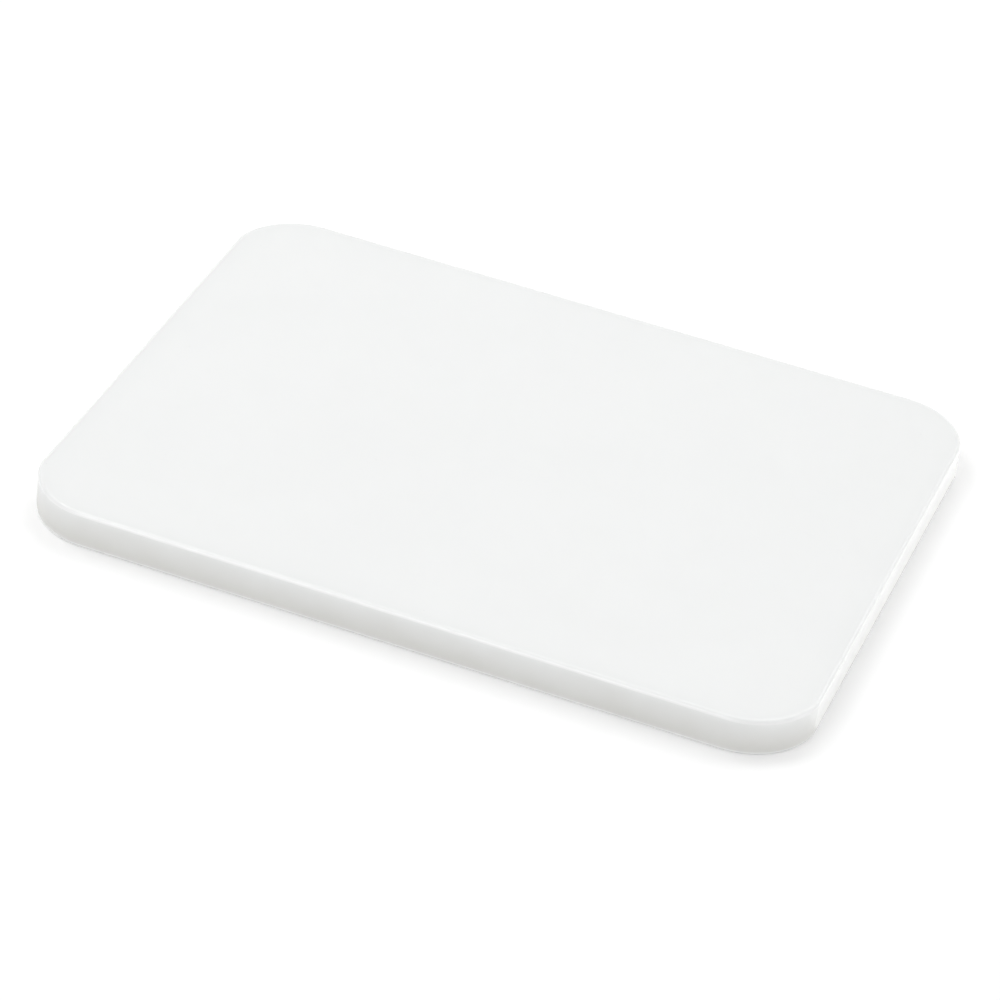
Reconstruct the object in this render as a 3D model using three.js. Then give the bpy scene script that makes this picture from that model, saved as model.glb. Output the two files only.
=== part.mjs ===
// A one-piece cutting board of white high-density polyethylene: a flat slab of even
// thickness, with wide round corners and a narrow rounding along its top and bottom edges.
//
// Units are millimetres. X runs along the board's length, Y across its width and Z up.
// The origin is at the middle of the underside, which is the face that the board rests on.

import * as THREE from 'three';

// Driving dimensions
const LENGTH = 400;
const WIDTH = 300;
const THICKNESS = 20;
const CORNER_RADIUS = 37; // of the outline, seen from above
const EDGE_RADIUS = 2; // of the rounding along the top and bottom edges

// Fineness of the curved stretches
const CORNER_FACETS = 24; // along each quarter turn of the outline
const EDGE_FACETS = 4; // across each eased edge
const FACETS_PER_CURVE_SEGMENT = 2; // an arc in a shape gets two facets for each curve segment

// The board's outline at full size: four straight sides joined by quarter turns.
function boardOutline() {
  const cornerX = LENGTH / 2 - CORNER_RADIUS;
  const cornerY = WIDTH / 2 - CORNER_RADIUS;
  const quarter = Math.PI / 2;

  const outline = new THREE.Shape();
  outline.moveTo(LENGTH / 2, -cornerY);
  outline.absarc(cornerX, cornerY, CORNER_RADIUS, 0, quarter);
  outline.absarc(-cornerX, cornerY, CORNER_RADIUS, quarter, 2 * quarter);
  outline.absarc(-cornerX, -cornerY, CORNER_RADIUS, 2 * quarter, 3 * quarter);
  outline.absarc(cornerX, -cornerY, CORNER_RADIUS, 3 * quarter, 4 * quarter);
  return outline;
}

// The slab: the outline carried up through the thickness. The bevel is the eased edge. It is
// taken off inside the outline, so the wall keeps the full length and width.
function slabGeometry() {
  const geometry = new THREE.ExtrudeGeometry(boardOutline(), {
    depth: THICKNESS - 2 * EDGE_RADIUS,
    curveSegments: CORNER_FACETS / FACETS_PER_CURVE_SEGMENT,
    bevelEnabled: true,
    bevelThickness: EDGE_RADIUS,
    bevelSize: EDGE_RADIUS,
    bevelOffset: -EDGE_RADIUS,
    bevelSegments: EDGE_FACETS,
  });
  // The lower bevel reaches below the extrusion's start, so the slab is lifted onto its underside.
  geometry.translate(0, 0, EDGE_RADIUS);
  return geometry;
}

// Milky white polyethylene with a smooth satin face.
const whitePolyethylene = new THREE.MeshStandardMaterial({
  color: 0xf1f3f1,
  roughness: 0.42,
  metalness: 0,
});

const board = new THREE.Mesh(slabGeometry(), whitePolyethylene);
board.name = 'board';

const cuttingBoard = new THREE.Group();
cuttingBoard.add(board);

export default cuttingBoard;
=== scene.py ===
"""A white polyethylene cutting board on a pale floor, under soft studio light.

Lengths are in metres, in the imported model's frame: X runs along the board's length, Y across
its width and Z up from the face that it rests on.
"""
import math

import bmesh
import bpy
from mathutils import Matrix, Vector


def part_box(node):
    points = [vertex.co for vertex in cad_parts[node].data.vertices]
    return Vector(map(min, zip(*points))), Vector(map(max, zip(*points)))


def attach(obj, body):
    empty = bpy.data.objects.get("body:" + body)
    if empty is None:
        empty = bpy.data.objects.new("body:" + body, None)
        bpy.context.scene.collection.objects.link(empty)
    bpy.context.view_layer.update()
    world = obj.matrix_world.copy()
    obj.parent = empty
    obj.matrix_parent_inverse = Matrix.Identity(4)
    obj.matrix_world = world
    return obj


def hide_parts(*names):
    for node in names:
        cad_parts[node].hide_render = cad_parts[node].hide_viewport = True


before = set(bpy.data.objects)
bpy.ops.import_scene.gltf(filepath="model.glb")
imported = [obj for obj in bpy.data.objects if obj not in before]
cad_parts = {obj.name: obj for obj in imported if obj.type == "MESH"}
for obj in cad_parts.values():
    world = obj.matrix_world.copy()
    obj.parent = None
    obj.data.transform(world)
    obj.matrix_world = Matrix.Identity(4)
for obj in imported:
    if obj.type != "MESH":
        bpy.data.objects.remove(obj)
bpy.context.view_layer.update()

# ------------------------------------------------------------------ the board

CORNER_RADIUS = 0.037  # of the outline, seen from above
EDGE_RADIUS = 0.002  # of the rounding along the top and bottom edges

# How finely the surface is divided
CORNER_STEPS = 48  # faces along each quarter turn of the outline
EDGE_STEPS = 8  # faces across each eased edge
WALL_STEPS = 8  # faces up the flat part of the wall
SIDE_STEP = 0.008  # rough length of the faces along the straight sides
WELD_DISTANCE = 1e-6  # points closer than this count as one
FACE_RINGS = (0.0001, 0.0004, 0.0015, 0.004, 0.010, 0.020)  # from the eased edge in to each ring

RIM_DEPTH = "rim_depth"  # the vertex value that says how far inside the outline a point is

# The short ends were planed after the corners were rounded. That took off the last few faces of
# each corner and left a faint upright crease.
PLANED_STEPS = 5
PLANED_DEPTH = CORNER_RADIUS * (1 - math.cos(PLANED_STEPS / CORNER_STEPS * math.pi / 2))


def side_counts(length, width):
    """How many faces the straight sides along X, and those along Y, are cut into."""
    along = round((length - 2 * CORNER_RADIUS) / SIDE_STEP)
    across = round((width - 2 * CORNER_RADIUS) / SIDE_STEP)
    return along, across


def corner_centre(length, width):
    """The centre of the round corner at +X and +Y, as it was before the ends were planed."""
    return length / 2 + PLANED_DEPTH - CORNER_RADIUS, width / 2 - CORNER_RADIUS


def outline(length, width, inset):
    """The outline moved in by inset: points, anticlockwise from the far end of the side at +X."""
    along, across = side_counts(length, width)
    radius = CORNER_RADIUS - inset
    centre_x, centre_y = corner_centre(length, width)
    signs = ((1, 1), (-1, 1), (-1, -1), (1, -1))
    centres = [(sign_x * centre_x, sign_y * centre_y) for sign_x, sign_y in signs]

    def on_corner(corner, step):
        angle = (corner + step / CORNER_STEPS) * math.pi / 2
        x, y = centres[corner % 4]
        return Vector((x + radius * math.cos(angle), y + radius * math.sin(angle)))

    points = []
    for corner in range(4):
        points += [on_corner(corner, step) for step in range(CORNER_STEPS + 1)]
        count = along if corner % 2 == 0 else across
        start, end = points[-1], on_corner(corner + 1, 0)
        points += [start.lerp(end, step / count) for step in range(1, count)]
    if radius > 0:
        planed = length / 2 - inset
        for point in points:
            point.x = max(-planed, min(planed, point.x))
    return points


def crease_places(points):
    """Where in an outline's points a planed end meets a corner."""
    end = max(point.x for point in points)
    on_end = [abs(point.x) > end - WELD_DISTANCE for point in points]
    return [
        i
        for i in range(len(points))
        if on_end[i] and not (on_end[i - 1] and on_end[(i + 1) % len(points)])
    ]


def section(thickness):
    """The half section as (inset, z) pairs, from the inner rectangle on top round to the one below."""
    quarter = [step / EDGE_STEPS * math.pi / 2 for step in range(EDGE_STEPS + 1)]
    flat = [(EDGE_RADIUS + ring, thickness) for ring in reversed(FACE_RINGS)]
    eased = [
        (EDGE_RADIUS * (1 - math.sin(turn)), thickness - EDGE_RADIUS * (1 - math.cos(turn)))
        for turn in quarter
    ]
    upper = [(CORNER_RADIUS, thickness)] + flat + eased
    wall_height = thickness - 2 * EDGE_RADIUS
    wall = [
        (0.0, thickness - EDGE_RADIUS - wall_height * step / WALL_STEPS)
        for step in range(1, WALL_STEPS)
    ]
    lower = [(inset, thickness - z) for inset, z in reversed(upper)]
    return upper + wall + lower


def add_inner_rectangle(bm, length, width, z, faces_up):
    """The flat grid between the four corner centres, which the innermost ring surrounds."""
    along, across = side_counts(length, width)
    half_x, half_y = corner_centre(length, width)
    rows = [
        [
            bm.verts.new((half_x * (2 * i / along - 1), half_y * (2 * j / across - 1), z))
            for i in range(along + 1)
        ]
        for j in range(across + 1)
    ]
    for j in range(across):
        for i in range(along):
            face = [rows[j][i], rows[j][i + 1], rows[j + 1][i + 1], rows[j + 1][i]]
            bm.faces.new(face if faces_up else face[::-1])
    return [vertex for row in rows for vertex in row]


def make_board():
    """The slab, in rings of faces from the top, over the eased edges and the wall, to the underside."""
    low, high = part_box("board")
    length, width, thickness = high - low
    middle = (low + high) / 2

    bm = bmesh.new()
    depth = bm.verts.layers.float.new(RIM_DEPTH)
    rings = []
    for inset, z in section(thickness):
        ring = [bm.verts.new((x, y, z)) for x, y in outline(length, width, inset)]
        for vertex in ring:
            vertex[depth] = inset
        rings.append(ring)
    creases = crease_places(outline(length, width, 0.0))
    for inner, outer in zip(rings, rings[1:]):
        for i in range(len(inner)):
            after = (i + 1) % len(inner)
            bm.faces.new((inner[i], outer[i], outer[after], inner[after]))
        off_face = min(inner[0][depth], outer[0][depth]) < EDGE_RADIUS
        if off_face:
            for i in creases:
                bm.edges.get((inner[i], outer[i])).smooth = False
    for z, faces_up in ((thickness, True), (0.0, False)):
        for vertex in add_inner_rectangle(bm, length, width, z, faces_up):
            vertex[depth] = CORNER_RADIUS
    bmesh.ops.remove_doubles(bm, verts=bm.verts, dist=WELD_DISTANCE)
    bmesh.ops.translate(bm, verts=bm.verts, vec=(middle.x, middle.y, low.z))

    mesh = bpy.data.meshes.new("board_slab")
    bm.to_mesh(mesh)
    bm.free()
    mesh.shade_smooth()
    board = bpy.data.objects.new("board_slab", mesh)
    bpy.context.scene.collection.objects.link(board)
    return board


# ------------------------------------------------------------------ materials

WHITE = (1.0, 1.0, 1.0, 1.0)
PLAIN_DETAIL = 2.0  # how many finer layers a noise has
NOISE_SPAN = (0.3, 0.7)  # what nearly all of a noise lies between
NOISE_MEAN = 0.5


class Nodes:
    """Makes and joins the nodes of one node tree."""

    def __init__(self, tree):
        self.tree = tree
        tree.nodes.clear()

    def feed(self, socket, value):
        """Sets a socket to a value, or links another node's output to it."""
        if isinstance(value, bpy.types.NodeSocket):
            self.tree.links.new(value, socket)
        else:
            socket.default_value = value

    def add(self, kind, settings=None, **inputs):
        """A node, with settings as its properties and inputs as values or other nodes' outputs."""
        node = self.tree.nodes.new(kind)
        for name, value in (settings or {}).items():
            setattr(node, name, value)
        for name, value in inputs.items():
            self.feed(node.inputs[name.replace("_", " ")], value)
        return node

    def math(self, operation, *values):
        """A Math node's output."""
        node = self.add("ShaderNodeMath", {"operation": operation})
        for socket, value in zip(node.inputs, values):
            self.feed(socket, value)
        return node.outputs[0]

    def ramp(self, value, start, end, first, last, smooth=True):
        """Maps the range from start to end onto first to last, and holds value at both ends."""
        interpolation = "SMOOTHSTEP" if smooth else "LINEAR"
        node = self.add("ShaderNodeMapRange", {"interpolation_type": interpolation}, Value=value)
        numbers = {"From Min": start, "From Max": end, "To Min": first, "To Max": last}
        for name, number in numbers.items():
            node.inputs[name].default_value = number
        return node.outputs[0]

    def mix(self, blend, share, first, second):
        """A colour Mix node's output."""
        node = self.add("ShaderNodeMix", {"data_type": "RGBA", "blend_type": blend})
        sockets = [socket for socket in node.inputs if socket.enabled]
        for socket, value in zip(sockets, (share, first, second)):
            self.feed(socket, value)
        return next(socket for socket in node.outputs if socket.enabled)

    def point(self, kind):
        """A texture coordinate in the piece's own space, such as Object or Normal."""
        return self.add("ShaderNodeTexCoord").outputs[kind]

    def part(self, vector, axis):
        """The X, Y or Z of a vector."""
        return self.add("ShaderNodeSeparateXYZ", Vector=vector).outputs[axis]

    def noise(self, point, size, detail=PLAIN_DETAIL):
        """Smooth noise from 0 to 1 whose features are about size metres across."""
        return self.add("ShaderNodeTexNoise", Vector=point, Scale=1 / size, Detail=detail).outputs[0]


# Colours of the plastic
PLASTIC_COLOUR = (0.90, 0.91, 0.905, 1.0)
PAINTED_SHADE_COLOUR = (0.79, 0.788, 0.765, 1.0)  # painted shade low on the wall: the wall is darker towards its foot
SHADE_DARKEST_SHARE = 0.2  # where the painted shade is darkest, as a share of the thickness
SHADE_PATCH, SHADE_UNEVEN = 0.025, 0.8  # the size and strength of the patches in that painted shade
EDGE_HIGHLIGHT_COLOUR = (0.985, 0.99, 0.985, 1.0)  # painted highlight along the eased edges, nearly white
EDGE_HIGHLIGHT_LEAST = 0.85  # the weakest part of the painted edge highlight
LIT_END_COLOUR = (0.93, 0.935, 0.93, 1.0)  # painted light: the two short ends are lighter than the rest of the wall
LIT_END_SHARE = 0.4  # how much of that colour shows
LIT_END_FROM = (0.990, 0.998)  # how squarely the wall faces along X where the painted light on the ends starts
CLOUD_SIZE, CLOUD_DETAIL = 0.06, 3.0
CLOUD_SHADE = 0.99  # the darkest clouds in the plastic
RIM_FADE = 0.004  # how far in from the outline the painted shade at the rim reaches
RIM_LOSS = 0.08  # the share of light lost at the rim itself
FLECK_SPACING = 0.11  # between the few specks of dust in the plastic
FLECK_RADIUS = 0.0004
FLECK_SHADE = 0.93

# Its inside and its skin
SCATTER_DISTANCE = 0.003  # how far light travels inside the plastic
SCATTER_SHARES = (1.0, 1.0, 1.0)  # of that distance, for red, green and blue light
REFRACTION = 1.54  # index of polyethylene
GLOSS_SIZE, GLOSS_DETAIL = 0.02, 4.0  # of the patches that are a little glossier or duller
GLOSSY, DULL = 0.20, 0.25  # roughness
GRAIN_SIZE, GRAIN_HEIGHT = 0.0006, 4e-6  # the matt grain of the pressed sheet
SWELL_SIZE, SWELL_HEIGHT = 0.004, 8e-6  # the soft unevenness under it
CUTTER_PITCH, CUTTER_HEIGHT = 0.0011, 2.5e-6  # the cutter's upright marks on the wall
CUTTER_PATCH = 0.03  # the marks come and go over patches of this size
EDGE_HIGHLIGHT_PATCH = 0.015  # and so does the painted highlight on the eased edges

# Where things lie, as the sine of the skin's lean from upright (1 on the faces, 0 on the wall)
EDGE_HIGHLIGHT_BELOW = (0.02, 0.15)  # the painted edge highlight starts over this range, and stops over the next
EDGE_HIGHLIGHT_ABOVE = (0.50, 0.80)
CUTTER_STOP = (0.05, 0.30)


def facing(nodes, axis):
    """How squarely the skin faces along an axis: 1 when it does, and 0 when it is side on."""
    return nodes.math("ABSOLUTE", nodes.part(nodes.point("Normal"), axis))


def painted_edge_highlight(nodes, place):
    """Near 1 on each eased edge, beside the wall, where the highlight is painted, and 0 elsewhere."""
    lean = facing(nodes, "Z")
    off_wall = nodes.ramp(lean, *EDGE_HIGHLIGHT_BELOW, 0.0, 1.0)
    off_face = nodes.ramp(lean, *EDGE_HIGHLIGHT_ABOVE, 1.0, 0.0)
    uneven = nodes.ramp(nodes.noise(place, EDGE_HIGHLIGHT_PATCH), *NOISE_SPAN, EDGE_HIGHLIGHT_LEAST, 1.0)
    return nodes.math("MULTIPLY", nodes.math("MULTIPLY", off_wall, off_face), uneven)


def plastic_colour(nodes, place, edge_highlight):
    """White, with painted shade low on the wall, a painted highlight on the eased edges, painted light
    on the short ends and painted shade at the rim.
    """
    low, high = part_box("board")
    # Painted shade: darker low on the wall, darkest a little above the foot, in uneven patches, and
    # none on the top and underside.
    darkest_shade_height = low.z + SHADE_DARKEST_SHARE * (high.z - low.z)
    from_darkest_shade = nodes.math("ABSOLUTE", nodes.math("SUBTRACT", nodes.part(place, "Z"), darkest_shade_height))
    uneven = nodes.math("SUBTRACT", nodes.noise(place, SHADE_PATCH), NOISE_MEAN)
    patches = nodes.math("MULTIPLY", uneven, SHADE_UNEVEN)
    up_wall = nodes.math("ADD", nodes.math("DIVIDE", from_darkest_shade, high.z - darkest_shade_height), patches)
    on_face = nodes.ramp(facing(nodes, "Z"), *EDGE_HIGHLIGHT_ABOVE, 0.0, 1.0)
    clear = nodes.math("MAXIMUM", up_wall, on_face)
    wall_with_painted_shade = nodes.mix("MIX", clear, PAINTED_SHADE_COLOUR, PLASTIC_COLOUR)
    # Painted light: the two short ends, which face along X, are made lighter.
    planed = nodes.ramp(facing(nodes, "X"), *LIT_END_FROM, 0.0, LIT_END_SHARE)
    plain = nodes.mix("MIX", planed, wall_with_painted_shade, LIT_END_COLOUR)
    # Painted highlight along the eased edges.
    body = nodes.mix("MIX", edge_highlight, plain, EDGE_HIGHLIGHT_COLOUR)

    # Painted shade at the rim, where light is lost through the edge, fading inwards.
    depth = nodes.add("ShaderNodeAttribute", {"attribute_name": RIM_DEPTH}).outputs["Fac"]
    fade = nodes.math("POWER", math.e, nodes.math("DIVIDE", depth, -RIM_FADE))
    rim = nodes.math("SUBTRACT", 1.0, nodes.math("MULTIPLY", fade, RIM_LOSS))
    cloud = nodes.ramp(nodes.noise(place, CLOUD_SIZE, CLOUD_DETAIL), *NOISE_SPAN, CLOUD_SHADE, 1.0)

    flat = {"voronoi_dimensions": "2D"}
    cells = nodes.add("ShaderNodeTexVoronoi", flat, Vector=place, Scale=1 / FLECK_SPACING)
    from_fleck = nodes.math("MULTIPLY", cells.outputs["Distance"], FLECK_SPACING)
    fleck = nodes.ramp(from_fleck, FLECK_RADIUS / 2, FLECK_RADIUS, FLECK_SHADE, 1.0)

    shade = nodes.math("MULTIPLY", nodes.math("MULTIPLY", rim, cloud), fleck)
    return nodes.mix("MULTIPLY", 1.0, body, shade)


def skin_height(nodes, place):
    """The height of the skin in metres: grain and swell all over, and cutter marks on the wall."""
    grain = nodes.math("MULTIPLY", nodes.noise(place, GRAIN_SIZE), GRAIN_HEIGHT)
    swell = nodes.math("MULTIPLY", nodes.noise(place, SWELL_SIZE), SWELL_HEIGHT)
    along = nodes.math("ADD", nodes.part(place, "X"), nodes.part(place, "Y"))
    wave = nodes.math("SINE", nodes.math("MULTIPLY", along, math.tau / CUTTER_PITCH))
    on_wall = nodes.ramp(facing(nodes, "Z"), *CUTTER_STOP, CUTTER_HEIGHT, 0.0)
    strength = nodes.math("MULTIPLY", on_wall, nodes.noise(place, CUTTER_PATCH))
    marks = nodes.math("MULTIPLY", wave, strength)
    return nodes.math("ADD", nodes.math("ADD", grain, swell), marks)


def polyethylene():
    """White high-density polyethylene: light sinks in and comes out softly, under a satin skin."""
    material = bpy.data.materials.new("satin_polyethylene")
    material.use_nodes = True
    nodes = Nodes(material.node_tree)
    place = nodes.point("Object")
    edge_highlight = painted_edge_highlight(nodes, place)

    skin = nodes.add("ShaderNodeBsdfPrincipled")
    bump = nodes.add("ShaderNodeBump", Strength=1.0, Distance=1.0, Height=skin_height(nodes, place))
    gloss = nodes.noise(place, GLOSS_SIZE, GLOSS_DETAIL)
    nodes.feed(skin.inputs["Base Color"], plastic_colour(nodes, place, edge_highlight))
    nodes.feed(skin.inputs["Roughness"], nodes.ramp(gloss, *NOISE_SPAN, GLOSSY, DULL))
    nodes.feed(skin.inputs["Normal"], bump.outputs[0])
    nodes.feed(skin.inputs["IOR"], REFRACTION)
    # No scattering under the painted edge highlight.
    nodes.feed(skin.inputs["Subsurface Weight"], nodes.math("SUBTRACT", 1.0, edge_highlight))
    nodes.feed(skin.inputs["Subsurface Radius"], SCATTER_SHARES)
    nodes.feed(skin.inputs["Subsurface Scale"], SCATTER_DISTANCE)
    nodes.add("ShaderNodeOutputMaterial", Surface=skin.outputs[0])
    return material


# ------------------------------------------------------------------ the stage

FLOOR_SIZE = 12.0
FLOOR_GAP = 0.00002  # keeps the floor just clear of the underside
FLOOR_COLOUR = (0.93, 0.93, 0.93, 1.0)
FLOOR_ROUGHNESS = 0.8
FLOOR_GLOW = 0.106  # light that the floor gives by itself, as on a lit table
FAR_FLOOR_GLOW = 0.50  # the same where the softboxes no longer reach, to keep the floor pale
FAR_FLOOR = (0.6, 2.5)  # the distance from the board over which one gives way to the other


def floor_material():
    """Pale and matt, with a glow that makes up for the softboxes far from the board."""
    material = bpy.data.materials.new("floor")
    material.use_nodes = True
    nodes = Nodes(material.node_tree)
    length = {"operation": "LENGTH"}
    away = nodes.add("ShaderNodeVectorMath", length, Vector=nodes.point("Object")).outputs["Value"]
    skin = nodes.add(
        "ShaderNodeBsdfPrincipled",
        Base_Color=FLOOR_COLOUR,
        Roughness=FLOOR_ROUGHNESS,
        Specular_IOR_Level=0.0,
        Emission_Color=WHITE,
        Emission_Strength=nodes.ramp(away, *FAR_FLOOR, FLOOR_GLOW, FAR_FLOOR_GLOW),
    )
    nodes.add("ShaderNodeOutputMaterial", Surface=skin.outputs[0])
    return material


def make_floor():
    """A large flat floor just under the board."""
    half = FLOOR_SIZE / 2
    corners = [(-half, -half, 0), (half, -half, 0), (half, half, 0), (-half, half, 0)]
    mesh = bpy.data.meshes.new("floor")
    mesh.from_pydata(corners, [], [(0, 1, 2, 3)])
    floor = bpy.data.objects.new("floor", mesh)
    floor.location.z = -FLOOR_GAP
    bpy.context.scene.collection.objects.link(floor)
    mesh.materials.append(floor_material())


SOFTBOX_DISTANCE = 1.8
# Round softboxes. name: (compass, elevation, size, radiance), where compass is in degrees from -Y
# towards +X, and elevation in degrees above the floor
SOFTBOXES = {
    "back": (180, 62, 1.0, 2.25),
    "left": (270, 62, 1.0, 2.6),
    "back_right": (135, 35, 1.0, 1.45),
    "right_low": (90, 12, 0.7, 3.0),
    "key": (340, 40, 1.0, 2.0),
}
FRONT_GLEAM = (345, 28, 1.4, 2.1)  # as above: draws the bright line along the front edge
CARD_WIDTH = 0.08
CARD_GAP = 0.001  # from the wall
CARD_OVERHANG = 0.06  # past the board's far side; at the near side it starts where the corner ends
CARD_RADIANCE = 0.32
WORLD_LIGHT = 0.56  # what the world shines on the board
WORLD_SEEN = 1.0  # what the camera sees of it: plain white


def direction(compass, elevation):
    """The unit vector from the board towards a compass direction and elevation in degrees."""
    turn, lift = math.radians(compass), math.radians(elevation)
    return Vector((math.sin(turn) * math.cos(lift), -math.cos(turn) * math.cos(lift), math.sin(lift)))


def add_area_light(name, shape, size, size_y, area, radiance):
    """An area light that the camera doesn't see."""
    data = bpy.data.lights.new(name, "AREA")
    data.shape = shape
    data.size, data.size_y = size, size_y
    data.energy = radiance * math.pi * area
    light = bpy.data.objects.new(name, data)
    light.visible_camera = False
    bpy.context.scene.collection.objects.link(light)
    return light


def make_softbox(name, compass, elevation, size, radiance):
    """A round softbox that faces the board."""
    towards = direction(compass, elevation)
    light = add_area_light(name, "DISK", size, size, math.pi * size**2 / 4, radiance)
    light.location = towards * SOFTBOX_DISTANCE
    light.rotation_mode = "QUATERNION"
    light.rotation_quaternion = towards.to_track_quat("Z", "Y")
    return light


def make_side_card():
    """A card on the floor along the board's right side, for the reflection in that wall."""
    low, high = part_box("board")
    start, end = low.y + CORNER_RADIUS, high.y + CARD_OVERHANG
    length = end - start
    area = CARD_WIDTH * length
    card = add_area_light("side_card", "RECTANGLE", CARD_WIDTH, length, area, CARD_RADIANCE)
    card.location = (high.x + CARD_GAP + CARD_WIDTH / 2, (start + end) / 2, low.z)
    card.rotation_euler.x = math.pi  # shines upwards
    return card


def show_only_in_gloss(light):
    """Leaves a light out of everything but reflections."""
    light.visible_diffuse = False
    light.visible_transmission = False
    light.visible_volume_scatter = False


def make_world():
    """Even light from all round, which the camera sees as plain white."""
    world = bpy.data.worlds.new("studio")
    world.use_nodes = True
    nodes = Nodes(world.node_tree)
    seen = nodes.add("ShaderNodeLightPath").outputs["Is Camera Ray"]
    strength = nodes.ramp(seen, 0.0, 1.0, WORLD_LIGHT, WORLD_SEEN, smooth=False)
    light = nodes.add("ShaderNodeBackground", Color=WHITE, Strength=strength)
    nodes.add("ShaderNodeOutputWorld", Surface=light.outputs[0])
    bpy.context.scene.world = world


# ------------------------------------------------------------------ the camera

CAMERA_TURN = 17.08  # degrees from -Y towards +X
CAMERA_LIFT = 34.90  # degrees above the floor
CAMERA_ROLL = 7.02  # degrees, clockwise as the camera sees it
CAMERA_DISTANCE = 2.1508
CAMERA_ACROSS = -0.003284  # the camera's own sideways and upward offset from the line to the origin
CAMERA_UPWARD = -0.006688
SENSOR_WIDTH = 36.0  # millimetres
FOCAL_LENGTH = 155.1  # millimetres
CLIP_START, CLIP_END = 0.1, 50.0


def make_camera():
    """The camera, with its roll and offset in its own picture plane."""
    turn, roll = math.radians(CAMERA_TURN), math.radians(CAMERA_ROLL)
    back = direction(CAMERA_TURN, CAMERA_LIFT)
    level = Vector((math.cos(turn), math.sin(turn), 0.0))
    upright = back.cross(level)
    across = level * math.cos(roll) + upright * math.sin(roll)
    upward = upright * math.cos(roll) - level * math.sin(roll)

    data = bpy.data.cameras.new("camera")
    data.sensor_width = SENSOR_WIDTH
    data.lens = FOCAL_LENGTH
    data.clip_start, data.clip_end = CLIP_START, CLIP_END
    camera = bpy.data.objects.new("camera", data)
    place = back * CAMERA_DISTANCE + across * CAMERA_ACROSS + upward * CAMERA_UPWARD
    rotation = Matrix((across, upward, back)).transposed()
    camera.matrix_world = Matrix.Translation(place) @ rotation.to_4x4()
    bpy.context.scene.collection.objects.link(camera)
    bpy.context.scene.camera = camera


# ------------------------------------------------------------------ putting it together

board = make_board()
board.data.materials.append(polyethylene())
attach(board, "root")
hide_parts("board")

make_floor()
make_world()
for name, softbox in SOFTBOXES.items():
    make_softbox(name, *softbox)
show_only_in_gloss(make_softbox("front_gleam", *FRONT_GLEAM))
show_only_in_gloss(make_side_card())
make_camera()
bpy.context.scene.view_settings.view_transform = "Standard"
